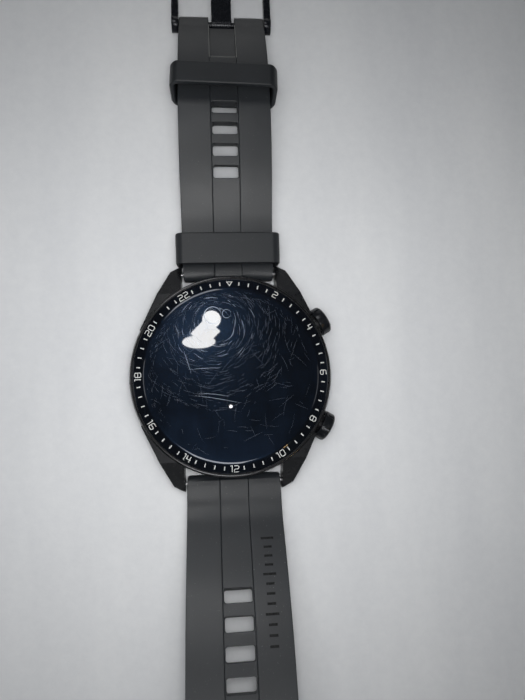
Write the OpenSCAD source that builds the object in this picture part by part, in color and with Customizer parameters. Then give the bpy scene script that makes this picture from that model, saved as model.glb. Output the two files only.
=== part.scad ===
// Smartwatch with a 46 mm round case, two side buttons and a two-piece rubber strap.
// +Z runs up through the dial, +Y towards 12 o'clock (the buckle side), +X towards the buttons.
// The origin is the centre of the sensor window's flat face, which the watch stands on.
// The strap halves arch from the lugs down to the surface that the watch stands on.

/* [Case] */
// Outer diameter of the mid case
case_d = 45.9; // [44:0.1:50]
// Height from the rear cover's face to the top of the glass
case_h = 10.7; // [10:0.1:13]
// How far the sensor window stands out of the rear cover
sensor_rise = 0.8; // [0.5:0.05:1.2]
// Wall of the mid case around the cavity
case_wall = 2.5; // [2.2:0.1:3]
// How far each spring bar axis lies outside the mid case's wall
bar_out = 1.55; // [1.45:0.05:4]
// Height of the spring bar axes above the sensor window's face
bar_z = 3.4; // [3.4:0.1:4.4]
// Clearance on each side of the strap between the two lugs of a pair
lug_clearance = 0.3; // [0.2:0.05:0.4]
// Radius of a lug's round end about the spring bar
lug_end_r = 1.85; // [1.8:0.05:2]
// Width of a lug at its tip
lug_tip_w = 2.5; // [2.2:0.1:3]

/* [Glass and scale ring] */
// Radius of the flat part of the glass
flat_r = 19.1; // [17:0.1:19.3]
// How far the glass slopes down from the flat to its rim
glass_drop = 1.1; // [0.7:0.1:1.3]
// Thickness of the glass
glass_t = 0.8; // [0.6:0.05:1]
// Thickness of the display panel
display_t = 1.2; // [0.8:0.1:1.4]

/* [Buttons] */
// Angle of each button above or below 3 o'clock
button_angle = 30; // [26:1:34]
// Radius of a button cap
cap_r = 3.3; // [2.8:0.1:3.5]
// How far a cap stands out of the mid case
cap_reach = 2.95; // [2.6:0.05:3.4]
// Travel of a button
button_travel = 0.4; // [0.2:0.05:0.5]
// Radius of a button stem
stem_r = 1; // [0.8:0.05:1.1]

/* [Strap] */
// Width of the strap
strap_w = 21.6; // [19:0.1:23.4]
// Thickness of the strap
strap_t = 2.3; // [2:0.1:2.8]
// Width of the strap at the buckle
buckle_end_w = 21.2; // [18:0.1:21.4]
// Width of the tail strap near its tip
tail_end_w = 19.6; // [17:0.1:20.4]
// Slope of the buckle strap where it leaves the lugs, in degrees
buckle_root_slope = 5; // [3:1:10]
// Slope that the buckle strap then bends up to, in degrees
buckle_arch_slope = 23; // [20:1:24]
// Radius that the buckle strap is arched to
buckle_arch_r = 54; // [46:1:62]
// Slope of the tail strap where it leaves the lugs, in degrees
tail_root_slope = 8; // [4:1:14]
// Slope that the tail strap then bends up to, in degrees
tail_arch_slope = 34; // [26:1:36]
// Radius that the tail strap is arched to
tail_arch_r = 72; // [60:1:86]
// Distance between the slots of the tail strap
slot_pitch = 5.25; // [4.6:0.05:5.6]
// Distance between the slots of the buckle strap
vent_pitch = 4.9; // [4.4:0.05:5]
// Length of a slot along the strap
slot_len = 2.8; // [2:0.1:3.2]
// Width of a slot across the strap
slot_w = 5.9; // [5:0.1:6.2]
// Number of slots in the tail strap
tail_slots = 15; // [8:1:15]
// Number of slots in the buckle strap
buckle_slots = 4; // [1:1:4]

/* [Keepers] */
// Length of the keeper beside the lugs
low_keeper_len = 7.2; // [5:0.1:7.6]
// Length of the keeper near the buckle
high_keeper_len = 5.8; // [5:0.1:6.4]
// Wall of a keeper
keeper_wall = 1.1; // [0.9:0.05:1.3]
// Free height for the tail inside the keeper beside the lugs
low_keeper_room = 2.5; // [2.5:0.05:2.8]
// Free height for the tail inside the keeper near the buckle
high_keeper_room = 3.3; // [2.5:0.05:3.6]
// Place of the buckle side keeper along the strap
high_keeper_s = 43.6; // [43:0.1:46]

/* [Buckle] */
// Length of the frame beyond its pin
frame_len = 16; // [14:0.5:19]
// Width of a frame leg
leg_w = 1.65; // [1.4:0.05:2.2]
// Height of the frame
frame_h = 2.3; // [2:0.1:2.6]
// Width of the far bar
far_bar_w = 3; // [2.4:0.1:4]
// Width of the tongue
tongue_w = 5; // [3:0.1:5.2]
// Thickness of the tongue
tongue_t = 1; // [0.8:0.1:1.2]

/* [Fits] */
// Gap between pieces that slide or turn past each other
run_gap = 0.06; // [0.04:0.01:0.1]
// Gap between pieces that are bonded or seated
seat_gap = 0.05; // [0.03:0.01:0.1]
// Gap between the strap and what it slides or folds past
loose_gap = 0.2; // [0.15:0.05:0.25]

/* [Hidden] */

steel = [0.05, 0.055, 0.06];
black = [0.03, 0.03, 0.035];
rubber = [0.13, 0.135, 0.14];
brass = [0.75, 0.6, 0.3];
silver = [0.7, 0.7, 0.72];
board_green = [0.05, 0.25, 0.15];
eps = 0.01;
far = 60;

// Levels of the case, counted from the sensor window's face
case_r = case_d / 2;
cavity_r = case_r - case_wall;
cover_z = sensor_rise;
cover_t = 1.2;
floor_z = cover_z + cover_t;
case_bottom_z = cover_z + 2.2;
glass_top_z = cover_z + case_h;
rim_z = glass_top_z - glass_drop - 0.15;
glass_r = case_r - 1.05;
recess_r = glass_r + seat_gap;
ledge_z = glass_top_z - glass_drop - glass_t - 0.7;
seal_t = 0.2;
ring_z = ledge_z + seal_t;
bar_span = case_d + 2 * bar_out;
bar_y = bar_span / 2;
lug_gap = strap_w + 2 * lug_clearance;
button_z = (case_bottom_z + ledge_z) / 2 + 0.45;

// Spring bars
bar_r = 0.75;
bar_bore_r = 0.5;
tip_r = bar_bore_r - run_gap;
tip_grip = 1.2;
bar_half = strap_w / 2 - 0.5;
tip_travel = 1.4;
knob_x = bar_half - 4;
strap_tube_r = lug_end_r - 0.05;
strap_bore_r = bar_r + 0.1;

// Strap paths: pieces of [length, radius], with radius 0 for straight and below 0 for bent upwards.
// p is a (y, z) point, a is the slope in degrees, and s is the distance along the strap's middle.
function turned(a, s, r) = r == 0 ? a : a - s / r * 180 / PI;
function moved(p, a, s, r) = r == 0
    ? [p[0] + s * cos(a), p[1] + s * sin(a)]
    : [p[0] + r * (sin(a) - sin(turned(a, s, r))), p[1] + r * (cos(turned(a, s, r)) - cos(a))];
function path_point(path, p, a, s, i = 0) = i == len(path) - 1 || s <= path[i][0]
    ? moved(p, a, s, path[i][1])
    : path_point(path, moved(p, a, path[i][0], path[i][1]), turned(a, path[i][0], path[i][1]), s - path[i][0], i + 1);
function path_slope(path, a, s, i = 0) = i == len(path) - 1 || s <= path[i][0]
    ? turned(a, s, path[i][1])
    : path_slope(path, turned(a, path[i][0], path[i][1]), s - path[i][0], i + 1);
function bend_len(from, to, r) = (to - from) * PI / 180 * r;
function path_len(path) = path[0][0] + path[1][0] + path[2][0] + (len(path) > 3 ? path[3][0] : 0);
// Slope where an arch whose middle tops out at height top comes down to the surface
function end_slope(r, top) = -acos((r + 0.05 - top) / (r - strap_t / 2));

bar_point = [bar_y, bar_z];
blend_len = 4;

// Buckle strap: straight root under the low keeper, short bend up, long arch down to the buckle
buckle_root = 4.3 + low_keeper_len;
buckle_bend_r = 14;
buckle_bend = bend_len(buckle_root_slope, buckle_arch_slope, buckle_bend_r);
buckle_end = 1.95;
buckle_bend_end = moved(moved(bar_point, buckle_root_slope, buckle_root, 0),
    buckle_root_slope, buckle_bend, -buckle_bend_r);
buckle_top_z = buckle_bend_end[1] + buckle_arch_r * (1 - cos(buckle_arch_slope));
buckle_end_slope = end_slope(buckle_arch_r, buckle_top_z);
buckle_arch = bend_len(buckle_end_slope, buckle_arch_slope, buckle_arch_r);
buckle_path = [[buckle_root, 0], [buckle_bend, -buckle_bend_r], [buckle_arch, buckle_arch_r]];
buckle_strap_len = path_len(buckle_path) - buckle_end;
function buckle_point(s) = path_point(buckle_path, bar_point, buckle_root_slope, s);
function buckle_slope(s) = path_slope(buckle_path, buckle_root_slope, s);

// Tail strap: short root, bend up, straight rise, and an arch that ends on the surface below
tail_bend_r = 12;
tail_bend = bend_len(tail_root_slope, tail_arch_slope, tail_bend_r);
tail_rise = 10.5;
tail_rise_end = moved(moved(moved(bar_point, tail_root_slope, blend_len, 0),
    tail_root_slope, tail_bend, -tail_bend_r), tail_arch_slope, tail_rise, 0);
tail_top_z = tail_rise_end[1] + tail_arch_r * (1 - cos(tail_arch_slope));
tail_end_slope = end_slope(tail_arch_r, tail_top_z);
tail_arch = bend_len(tail_end_slope, tail_arch_slope, tail_arch_r);
tail_path = [[blend_len, 0], [tail_bend, -tail_bend_r], [tail_rise, 0], [tail_arch, tail_arch_r]];
tail_len = path_len(tail_path);
function tail_point(s) = path_point(tail_path, bar_point, tail_root_slope, s);
function tail_slope(s) = path_slope(tail_path, tail_root_slope, s);

// Places along the straps
first_vent = 24.05;
first_tail_slot = 24.8;
taper_start = 46;
recess_from = buckle_strap_len - 14.5;
recess_depth = 0.9;
pin_tube_r = strap_t / 2 + 0.45;
pin_r = 0.75;
pin_bore_r = 0.45;
notch_w = slot_w - 0.3;
loop_r = 1.55;
pin_point = buckle_point(buckle_strap_len);
frame_in = buckle_end_w / 2 + loose_gap;
frame_out = frame_in + leg_w;
leg_end_r = 1.85;
frame_drop = frame_h / 2;
frame_slope = asin((pin_point[1] - frame_drop - 0.05) / frame_len);

// ---------------------------------------------------------------- helpers

// Turns local (x, y, z) so that local z lies along world X and local (x, y) is world (y, z)
module along_x(p = [0, 0]) translate([0, p[0], p[1]]) rotate([90, 0, 90]) children();

// A bar of the given profile in (y, z), centred on x = 0
module side_bar(w) along_x() linear_extrude(w, center = true) children();

module x_cylinder(p, r, from, to) along_x(p) translate([0, 0, from]) cylinder(r = r, h = to - from, $fn = 48);

module tube(r_out, r_in, h) difference() {
    cylinder(r = r_out, h = h, $fn = 72);
    translate([0, 0, -eps]) cylinder(r = r_in, h = h + 2 * eps, $fn = 72);
}

module box(from, to) translate(from) cube(to - from);

// Points of a rectangle with round corners, centred on the origin
function round_rect(w, h, r, n = 6) = [
    for (q = [0:3], i = [0:n])
        let (a = 90 * q + 90 * i / n, sx = (q == 0 || q == 3) ? 1 : -1, sy = q < 2 ? 1 : -1)
        [sx * (w / 2 - r) + r * cos(a), sy * (h / 2 - r) + r * sin(a)]
];

// A helical coil along +Z from 0 to len, swept as one closed surface
module coil(r, wire_r, len, turns, steps = 14, sides = 6) {
    n = turns * steps;
    rise = len - 2 * wire_r;
    points = [
        for (i = [0:n], j = [0:sides - 1])
            let (a = 360 * i / steps, b = 360 * j / sides, d = r + wire_r * cos(b))
            [d * cos(a), d * sin(a), wire_r + rise * i / n + wire_r * sin(b)]
    ];
    walls = [
        for (i = [0:n - 1], j = [0:sides - 1], half = [0:1])
            let (k = (j + 1) % sides, a = i * sides + j, b = i * sides + k, c = a + sides, d = b + sides)
            half == 0 ? [a, d, b] : [a, c, d]
    ];
    start_cap = [for (j = [1:sides - 2]) [0, j, j + 1]];
    end_cap = [for (j = [1:sides - 2]) [n * sides, n * sides + j + 1, n * sides + j]];
    polyhedron(points, concat(walls, start_cap, end_cap));
}

// ---------------------------------------------------------------- case

module lug_plan() polygon([
    [lug_gap / 2, bar_y + lug_end_r],
    [lug_gap / 2 + lug_tip_w, bar_y + 0.3],
    [case_r * cos(button_angle) + 0.5, case_r * sin(button_angle) - 0.8],
    [lug_gap / 2, case_r * sin(button_angle) - 0.8]
]);

module lug_side() {
    translate([bar_y, bar_z]) circle(r = lug_end_r, $fn = 48);
    polygon([
        [case_r * 0.35, case_bottom_z + 0.3], [case_r * 0.35, rim_z - 1.2], [case_r - 4, rim_z - 1.2],
        [bar_y - 0.6, bar_z + lug_end_r + 0.9], [bar_y + 1.2, bar_z + lug_end_r - 0.5],
        [bar_y + 1.2, bar_z], [bar_y - 0.2, bar_z - lug_end_r + 0.02], [case_r - 3, case_bottom_z + 0.3]
    ]);
}

module lug() intersection() {
    linear_extrude(far) lug_plan();
    side_bar(far) lug_side();
}

module case_ring() rotate_extrude($fn = 120) polygon([
    [cavity_r - 1, case_bottom_z], [case_r - 1.55, case_bottom_z], [case_r - 0.4, case_bottom_z + 1.1],
    [case_r, case_bottom_z + 2.6], [case_r, rim_z - 2.2], [case_r - 0.22, rim_z - 0.9],
    [case_r - 0.55, rim_z], [recess_r - 0.5, rim_z], [recess_r - 0.5, ledge_z], [cavity_r - 1, ledge_z]
]);

// Puts its children on a button's axis, with local z pointing outwards from the case's axis
module at_button(side) rotate([0, 0, side * button_angle]) translate([0, 0, button_z]) rotate([0, 90, 0]) children();

spot_r = cap_r + 0.35;
spot_at = case_r - 0.2;
tube_r = stem_r + 0.6;
cap_top = case_r + cap_reach;
cap_base = spot_at + button_travel + 0.2;
cap_roof = cap_top - 0.9;
switch_face = cavity_r - 2;
stem_end = switch_face + button_travel + 0.05;

module mid_case() color(steel) difference() {
    union() {
        case_ring();
        for (sx = [0, 1], sy = [0, 1]) mirror([sx, 0, 0]) mirror([0, sy, 0]) lug();
    }
    cylinder(r = cavity_r, h = ledge_z, $fn = 120);
    translate([0, 0, case_bottom_z - 1]) cylinder(r = cavity_r + 0.6, h = 1.5, $fn = 120);
    translate([0, 0, ledge_z]) cylinder(r = recess_r, h = far, $fn = 120);
    for (side = [-1, 1]) at_button(side) {
        translate([0, 0, cavity_r - 2]) cylinder(r = tube_r, h = far, $fn = 48);
        translate([0, 0, spot_at]) cylinder(r = spot_r, h = far, $fn = 48);
    }
    for (sy = [-1, 1]) along_x([sy * bar_y, bar_z])
        cylinder(r = bar_bore_r, h = lug_gap + 2 * (tip_grip + 0.1), center = true, $fn = 32);
}

cover_rim_r = cavity_r - 0.1;
window_r = 12.4;
window_flange_r = window_r + 0.95;
contact_x = 2;
contact_y = -15.4;
contact_r = 0.9;

module rear_cover() color(black) difference() {
    rotate_extrude($fn = 120) polygon([
        [0, cover_z], [case_r - 5.4, cover_z], [case_r - 2.3, cover_z + 1.4], [case_r - 1.7, case_bottom_z - seat_gap],
        [cover_rim_r, case_bottom_z - seat_gap], [cover_rim_r, case_bottom_z + 1.4],
        [cover_rim_r - 1, case_bottom_z + 1.4], [cover_rim_r - 1, floor_z + 0.6], [cover_rim_r - 2.4, floor_z], [0, floor_z]
    ]);
    translate([0, 0, -1]) cylinder(r = window_r + seat_gap, h = far, $fn = 96);
    for (sx = [-1, 1]) translate([sx * contact_x, contact_y, -1]) cylinder(r = contact_r + seat_gap, h = far, $fn = 32);
}

module rear_seal() color(rubber) translate([0, 0, case_bottom_z - 0.03])
    tube(cavity_r + 0.55, cavity_r + 0.02, 0.5);

pocket_r = 8.3;

module sensor_window() color([0.05, 0.05, 0.06]) rotate_extrude($fn = 96) polygon([
    [0, 0], [9, 0], [window_r, cover_z - 0.1], [window_r, floor_z + seat_gap],
    [window_flange_r, floor_z + seat_gap], [window_flange_r, floor_z + 0.35], [pocket_r, floor_z + 0.35],
    [pocket_r, cover_z + 0.4], [0, cover_z + 0.4]
]);

sensor_board_z = floor_z + 0.4;

module sensor_board() color(board_green) translate([0, 0, sensor_board_z]) cylinder(r = 9.6, h = 0.6, $fn = 72);

module sensor_leds() color(silver) {
    for (a = [0:90:270]) rotate([0, 0, a]) translate([5.2, 0, sensor_board_z - 0.45]) cube([1.8, 2.4, 0.9], center = true);
    translate([0, 0, sensor_board_z - 0.45]) cube([2.4, 2.8, 0.9], center = true);
}

module charging_contacts() color(brass) for (sx = [-1, 1]) translate([sx * contact_x, contact_y, cover_z - 0.08]) {
    cylinder(r = contact_r, h = cover_t + 0.5, $fn = 32);
    translate([0, 0, cover_t + 0.1]) cylinder(r = contact_r + 0.4, h = 0.4, $fn = 32);
}

// ---------------------------------------------------------------- glass, ring and display

module cover_glass() color([0.1, 0.12, 0.16, 0.4]) rotate_extrude($fn = 120) polygon([
    [0, glass_top_z], [flat_r, glass_top_z], [flat_r + 0.5, glass_top_z - 0.1], [glass_r, glass_top_z - glass_drop],
    [glass_r, glass_top_z - glass_drop - glass_t], [flat_r, glass_top_z - glass_t], [0, glass_top_z - glass_t]
]);

ring_inner_r = flat_r - 0.35;

module scale_ring() color(black) rotate_extrude($fn = 120) polygon([
    [ring_inner_r, ring_z], [glass_r, ring_z], [glass_r, glass_top_z - glass_drop - glass_t - seat_gap],
    [flat_r, glass_top_z - glass_t - seat_gap], [ring_inner_r, glass_top_z - glass_t - seat_gap]
]);

module glass_seal() color(rubber) translate([0, 0, ledge_z])
    tube(glass_r, cavity_r + 0.05, seal_t - 0.02);

display_z = glass_top_z - glass_t - seat_gap - display_t;
display_r = ring_inner_r - 0.1;

module display_panel() color(black) translate([0, 0, display_z]) cylinder(r = display_r, h = display_t, $fn = 96);

plate_z = ledge_z - 0.7;
plate_t = 0.6;
board_z = plate_z - 1.8;
board_t = 0.8;
board_top = board_z + board_t;
flex_t = 0.12;
flex_w = 6;
flex_y = ring_inner_r - 0.2;

module display_flex() color([0.6, 0.4, 0.1]) side_bar(flex_w) polygon([
    [flex_y - 6, display_z - 0.05], [flex_y - 6, display_z - 0.05 - flex_t], [flex_y - flex_t, display_z - 0.05 - flex_t],
    [flex_y - flex_t, board_top + 0.02 + flex_t], [flex_y - 4, board_top + 0.02 + flex_t], [flex_y - 4, board_top + 0.02],
    [flex_y, board_top + 0.02], [flex_y, display_z - 0.05]
]);

// ---------------------------------------------------------------- inside the case

battery_from = [-14.8, -11.4];
battery_to = [6.8, 11.4];
frame_r = cavity_r - 0.15;
frame_ring_in = frame_r - 1.1;
board_r = frame_ring_in - 0.2;
window_edge = battery_to[0] + 0.8;
screw_points = [[11.4, 12.4], [11.4, -12.4], [-9.5, 14.6], [-9.5, -14.6]];
screw_r = 0.48;

module inner_frame() color(black) difference() {
    union() {
        rotate_extrude($fn = 96) polygon([
            [frame_ring_in, case_bottom_z + 1.5], [frame_r, case_bottom_z + 1.5], [frame_r, plate_z + plate_t],
            [0, plate_z + plate_t], [0, plate_z], [frame_ring_in, plate_z]
        ]);
        for (p = screw_points) translate([p[0], p[1], board_top + 0.02]) cylinder(r = 1.4, h = plate_z - board_top, $fn = 32);
    }
    for (side = [-1, 1]) at_button(side) {
        translate([0, 0, cavity_r - 5]) cylinder(r = tube_r + 0.6, h = 9, $fn = 32);
    }
    box([-flex_w / 2 - 0.5, flex_y - 0.5, plate_z - 1], [flex_w / 2 + 0.5, flex_y + 0.3, plate_z + plate_t + 1]);
    for (p = screw_points) translate([p[0], p[1], board_z]) cylinder(r = screw_r + 0.02, h = far, $fn = 24);
}

module main_board() color(board_green) difference() {
    translate([0, 0, board_z]) cylinder(r = board_r, h = board_t, $fn = 96);
    box([-far, battery_from[1] - 0.6, board_z - 1], [window_edge, battery_to[1] + 0.6, board_top + 1]);
    for (side = [-1, 1]) at_button(side) translate([0, 0, cavity_r - 2]) cube([5, 5, 4.4], center = true);
    for (p = screw_points) translate([p[0], p[1], board_z - 1]) cylinder(r = screw_r + 0.12, h = 4, $fn = 24);
}

can_h = 1.4;

module shield_cans() color(silver) {
    box([window_edge + 0.9, -6.2, board_z - can_h - 0.02], [window_edge + 7.4, 6.2, board_z - 0.02]);
    box([-7, battery_to[1] + 1.4, board_z - can_h - 0.02], [5, battery_to[1] + 5, board_z - 0.02]);
    box([-6, -battery_to[1] - 5, board_top + 0.02], [4, -battery_to[1] - 1.4, board_top + 0.8]);
}

module board_chips() color(black) {
    box([window_edge + 1.2, -3, board_top + 0.02], [window_edge + 6, 3, board_top + 0.7]);
    for (sy = [-1, 1]) box([window_edge + 2, sy * 6 - 1.2, board_top + 0.02], [window_edge + 4.6, sy * 6 + 1.2, board_top + 0.6]);
    for (i = [0:3]) box([-6.4 + 2.2 * i, battery_to[1] + 1.6, board_top + 0.02], [-5.2 + 2.2 * i, battery_to[1] + 2.4, board_top + 0.5]);
}

module board_screws() color(silver) for (p = screw_points) translate([p[0], p[1], board_z]) {
    translate([0, 0, -0.52]) difference() {
        cylinder(r = 0.9, h = 0.5, $fn = 24);
        cube([1.3, 0.25, 0.4], center = true);
        cube([0.25, 1.3, 0.4], center = true);
    }
    translate([0, 0, -0.1]) cylinder(r = screw_r, h = board_t + 0.9, $fn = 24);
}

battery_z = sensor_board_z + 0.8;

module battery() color([0.2, 0.22, 0.26]) translate([(battery_from[0] + battery_to[0]) / 2, 0, battery_z])
    linear_extrude(plate_z - 0.3 - battery_z)
        polygon(round_rect(battery_to[0] - battery_from[0], battery_to[1] - battery_from[1], 1.5));

module sensor_flex() color([0.6, 0.4, 0.1]) translate([0, 2.5, 0]) rotate([90, 0, 0]) linear_extrude(5) polygon([
    [5.8, sensor_board_z + 0.62], [window_edge, sensor_board_z + 0.62], [window_edge, board_z - 0.16],
    [window_edge + 0.7, board_z - 0.16], [window_edge + 0.7, board_z - 0.04], [window_edge - flex_t, board_z - 0.04],
    [window_edge - flex_t, sensor_board_z + 0.62 + flex_t], [5.8, sensor_board_z + 0.62 + flex_t]
]);

module vibration_motor() color(silver)
    translate([-7.6, -15, case_bottom_z + 1.65]) rotate([0, 90, 0]) cylinder(r = 1.5, h = 9.4, $fn = 48);

module speaker() color([0.1, 0.1, 0.1]) difference() {
    box([-7.6, battery_to[1] + 1, floor_z + 1.1], [2.4, battery_to[1] + 5, board_z - can_h - 0.2]);
    translate([-2.6, battery_to[1] + 3, floor_z]) cylinder(r = 1.2, h = 1.6, $fn = 32);
}

module microphone() color(silver)
    box([4.4, -battery_to[1] - 4, board_z - 1.1], [7.4, -battery_to[1] - 1.6, board_z - 0.02]);

// ---------------------------------------------------------------- buttons

module button_tube(side) color(steel) at_button(side) difference() {
    union() {
        translate([0, 0, cavity_r - 0.6]) cylinder(r = tube_r - run_gap, h = spot_at + 0.9 - cavity_r + 0.6, $fn = 48);
        translate([0, 0, cavity_r - 0.6]) cylinder(r = tube_r + 0.3, h = 0.4, $fn = 48);
    }
    translate([0, 0, cavity_r - 1]) cylinder(r = stem_r + run_gap, h = far, $fn = 48);
    translate([0, 0, case_r - 1.8]) cylinder(r = stem_r + 0.35, h = 0.6, $fn = 48);
}

module button_cap(side) color(steel) at_button(side) difference() {
    rotate_extrude($fn = 72) polygon([
        [0, cap_roof], [cap_r - 0.75, cap_roof], [cap_r - 0.75, cap_base], [cap_r - 0.1, cap_base],
        [cap_r, cap_base + 0.15], [cap_r, cap_top - 0.75], [cap_r - 0.2, cap_top - 0.35], [cap_r - 0.6, cap_top - 0.1],
        [cap_r - 1.1, cap_top], [0, cap_top]
    ]);
    for (a = [0:60:300]) rotate([0, 0, a + 12])
        translate([cap_r, 0, cap_top - 1.2]) cube([0.36, 0.36, 1.5], center = true);
}

clip_at = stem_end + 0.45;

module button_stem(side) color(silver) at_button(side) difference() {
    translate([0, 0, stem_end]) cylinder(r = stem_r, h = cap_roof - stem_end - 0.01, $fn = 48);
    translate([0, 0, clip_at]) tube(stem_r + 1, stem_r - 0.25, 0.3);
}

module button_clip(side) color(silver) at_button(side) difference() {
    translate([0, 0, clip_at + 0.03]) tube(stem_r + 0.5, stem_r - 0.22, 0.24);
    translate([0, -0.6, clip_at - 1]) cube([far, 1.2, 3]);
}

module button_seal(side) color(rubber) at_button(side)
    translate([0, 0, case_r - 1.75]) tube(stem_r + 0.33, stem_r + 0.01, 0.5);

module button_spring(side) color(silver) at_button(side)
    translate([0, 0, spot_at + 0.02]) coil((tube_r + cap_r - 0.75) / 2, 0.14, cap_roof - spot_at - 0.04, 4);

module button_switch(side) color(black) at_button(side) {
    translate([0, 0, switch_face - 1.15]) cube([2.6, 3.6, 1.7], center = true);
    translate([0, 0, switch_face - 0.4]) cylinder(r = 0.7, h = 0.4, $fn = 32);
}

// ---------------------------------------------------------------- spring bars of the lugs

module bar_barrel(sy) color(silver) along_x([sy * bar_y, bar_z]) difference() {
    cylinder(r = bar_r, h = 2 * bar_half, center = true, $fn = 36);
    translate([0, 0, -bar_half + 1.5]) cylinder(r = bar_bore_r, h = 2 * bar_half, $fn = 36);
    translate([-0.45, -far / 2, knob_x - tip_travel - 0.5]) cube([0.9, far / 2, tip_travel + 1]);
}

module bar_fixed_tip(sy) color(silver)
    x_cylinder([sy * bar_y, bar_z], tip_r, -lug_gap / 2 - tip_grip, -bar_half);

module bar_release_tip(sy) color(silver) union() {
    x_cylinder([sy * bar_y, bar_z], tip_r, knob_x - 0.6, lug_gap / 2 + tip_grip);
    translate([knob_x, sy * bar_y, bar_z - lug_end_r - 0.3]) cylinder(r = 0.36, h = lug_end_r + 0.3, $fn = 24);
    translate([knob_x, sy * bar_y, bar_z - lug_end_r - 0.5]) cylinder(r = 0.5, h = 0.3, $fn = 24);
}

module bar_spring(sy) color(silver) along_x([sy * bar_y, bar_z])
    translate([0, 0, -bar_half + 1.55]) coil(0.32, 0.08, knob_x - 0.7 + bar_half - 1.55, 16, 10, 5);

// ---------------------------------------------------------------- straps

// Puts its children on a path, with local x across the strap, y along it and z out of its top
module on_path(p, a) translate([0, p[0], p[1]]) rotate([a, 0, 0]) children();

// Points of a line that follows a path at height n over its middle
step = 2;
function samples(from, to) = concat([from], [for (i = [ceil((from + 0.1) / step):floor((to - 0.1) / step)]) i * step], [to]);
function swell(s) = (strap_tube_r - strap_t / 2) * max(0, 1 - s / blend_len);
function line_at(path, a, from, to, n) = [
    for (s = samples(from, to))
        let (p = path_point(path, bar_point, a, s), b = path_slope(path, a, s), h = n + sign(n) * swell(s))
        [p[0] - h * sin(b), p[1] + h * cos(b)]
];
function reversed(v) = [for (i = [len(v) - 1:-1:0]) v[i]];

// Side view of a strap with its round lug end, and of a strip between two places and heights over its middle
module side_view(path, a, to) polygon(concat(
    line_at(path, a, 0.4, to, strap_t / 2),
    reversed(line_at(path, a, 0.4, to, -strap_t / 2)),
    [for (b = [-90:-10:-270]) bar_point + strap_tube_r * [cos(a + b), sin(a + b)]]
));

module strip_view(path, a, from, to, low, high)
    polygon(concat(line_at(path, a, from, to, high), reversed(line_at(path, a, from, to, low))));

module lug_end_cuts() {
    x_cylinder(bar_point, strap_bore_r, -far, far);
    box([knob_x - tip_travel - 0.7, bar_y - 0.7, bar_z - far], [knob_x + 0.7, bar_y + 0.7, bar_z]);
}

// Everything within half the strap's width that tapers from y_from to y_to, seen from above
module taper(y_from, y_to, end_w) linear_extrude(far * 2, center = true) polygon([
    [-strap_w / 2, 0], [-strap_w / 2, y_from], [-end_w / 2, y_to], [-end_w / 2, y_to + far],
    [end_w / 2, y_to + far], [end_w / 2, y_to], [strap_w / 2, y_from], [strap_w / 2, 0]
]);

// A slot with round corners
slot_r = 0.5;

module slot() linear_extrude(far / 6, center = true) {
    square([slot_w - 2 * slot_r, slot_len], center = true);
    square([slot_w, slot_len - 2 * slot_r], center = true);
    for (sx = [-1, 1], sy = [-1, 1]) translate([sx * (slot_w / 2 - slot_r), sy * (slot_len / 2 - slot_r)])
        circle(r = slot_r, $fn = 24);
}

module buckle_strap() color(rubber) difference() {
    intersection() {
        union() {
            side_bar(strap_w) side_view(buckle_path, buckle_root_slope, buckle_strap_len + buckle_end);
            x_cylinder(pin_point, pin_tube_r, -far / 2, far / 2);
        }
        taper(buckle_point(taper_start)[0], pin_point[0], buckle_end_w);
    }
    lug_end_cuts();
    for (i = [0:buckle_slots - 1]) let (s = first_vent + i * vent_pitch)
        on_path(buckle_point(s), buckle_slope(s)) slot();
    side_bar(slot_w) strip_view(buckle_path, buckle_root_slope, recess_from, buckle_strap_len,
        strap_t / 2 - recess_depth, strap_t);
    x_cylinder(pin_point, pin_r + 0.1, -far, far);
    on_path(pin_point, buckle_slope(buckle_strap_len))
        translate([-notch_w / 2, -loop_r - 0.35, -4]) cube([notch_w, far, 8]);
}

tip_round = 9.5;

module tail_plan() {
    y_taper = tail_point(taper_start)[0];
    y_end = tail_point(tail_len)[0] + strap_t / 2 * sin(-tail_end_slope);
    linear_extrude(far * 3, center = true) polygon(concat(
        [[strap_w / 2, 0], [strap_w / 2, y_taper]],
        [for (a = [0:6:180]) [tail_end_w / 2 * cos(a), y_end - tip_round + tip_round * sin(a)]],
        [[-strap_w / 2, y_taper], [-strap_w / 2, 0]]
    ));
}

// Plain sunk bars beside the middle band
module size_marks() for (i = [0:11]) let (s = 9.5 + blend_len + i * 1.9)
    on_path(tail_point(s), tail_slope(s)) translate([strap_w / 2 - 4, 0, strap_t / 2])
        cube([i % 4 == 0 ? 2.8 : 1.8, 0.5, 0.4], center = true);

module tail_strap() color(rubber) mirror([0, 1, 0]) difference() {
    intersection() {
        side_bar(strap_w) side_view(tail_path, tail_root_slope, tail_len);
        tail_plan();
    }
    lug_end_cuts();
    for (i = [0:tail_slots - 1]) let (s = first_tail_slot + i * slot_pitch)
        on_path(tail_point(s), tail_slope(s)) slot();
    size_marks();
}

// ---------------------------------------------------------------- keepers

// Its loop hangs lower where the strap thickens towards the spring bar
module keeper(s, length, room) color(rubber) on_path(buckle_point(s), buckle_slope(s)) {
    under = loose_gap + swell(s - length / 2);
    in_w = strap_w + 2 * loose_gap;
    in_h = strap_t + loose_gap + under + room;
    translate([0, 0, in_h / 2 - strap_t / 2 - under]) rotate([90, 0, 0])
        linear_extrude(length, center = true) difference() {
            polygon(round_rect(in_w + 2 * keeper_wall, in_h + 2 * keeper_wall, 1.7));
            polygon(round_rect(in_w, in_h, 0.6));
        }
}

low_keeper_s = 1.95 + low_keeper_len / 2;

module low_keeper() keeper(low_keeper_s, low_keeper_len, low_keeper_room);

module high_keeper() keeper(high_keeper_s, high_keeper_len, high_keeper_room);

// ---------------------------------------------------------------- buckle

// Puts its children at the buckle pin, with local y along the frame and local z up
module at_pin() on_path(pin_point, -frame_slope) children();

far_bar_y = frame_len - far_bar_w;
rest_depth = 0.35;

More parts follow.
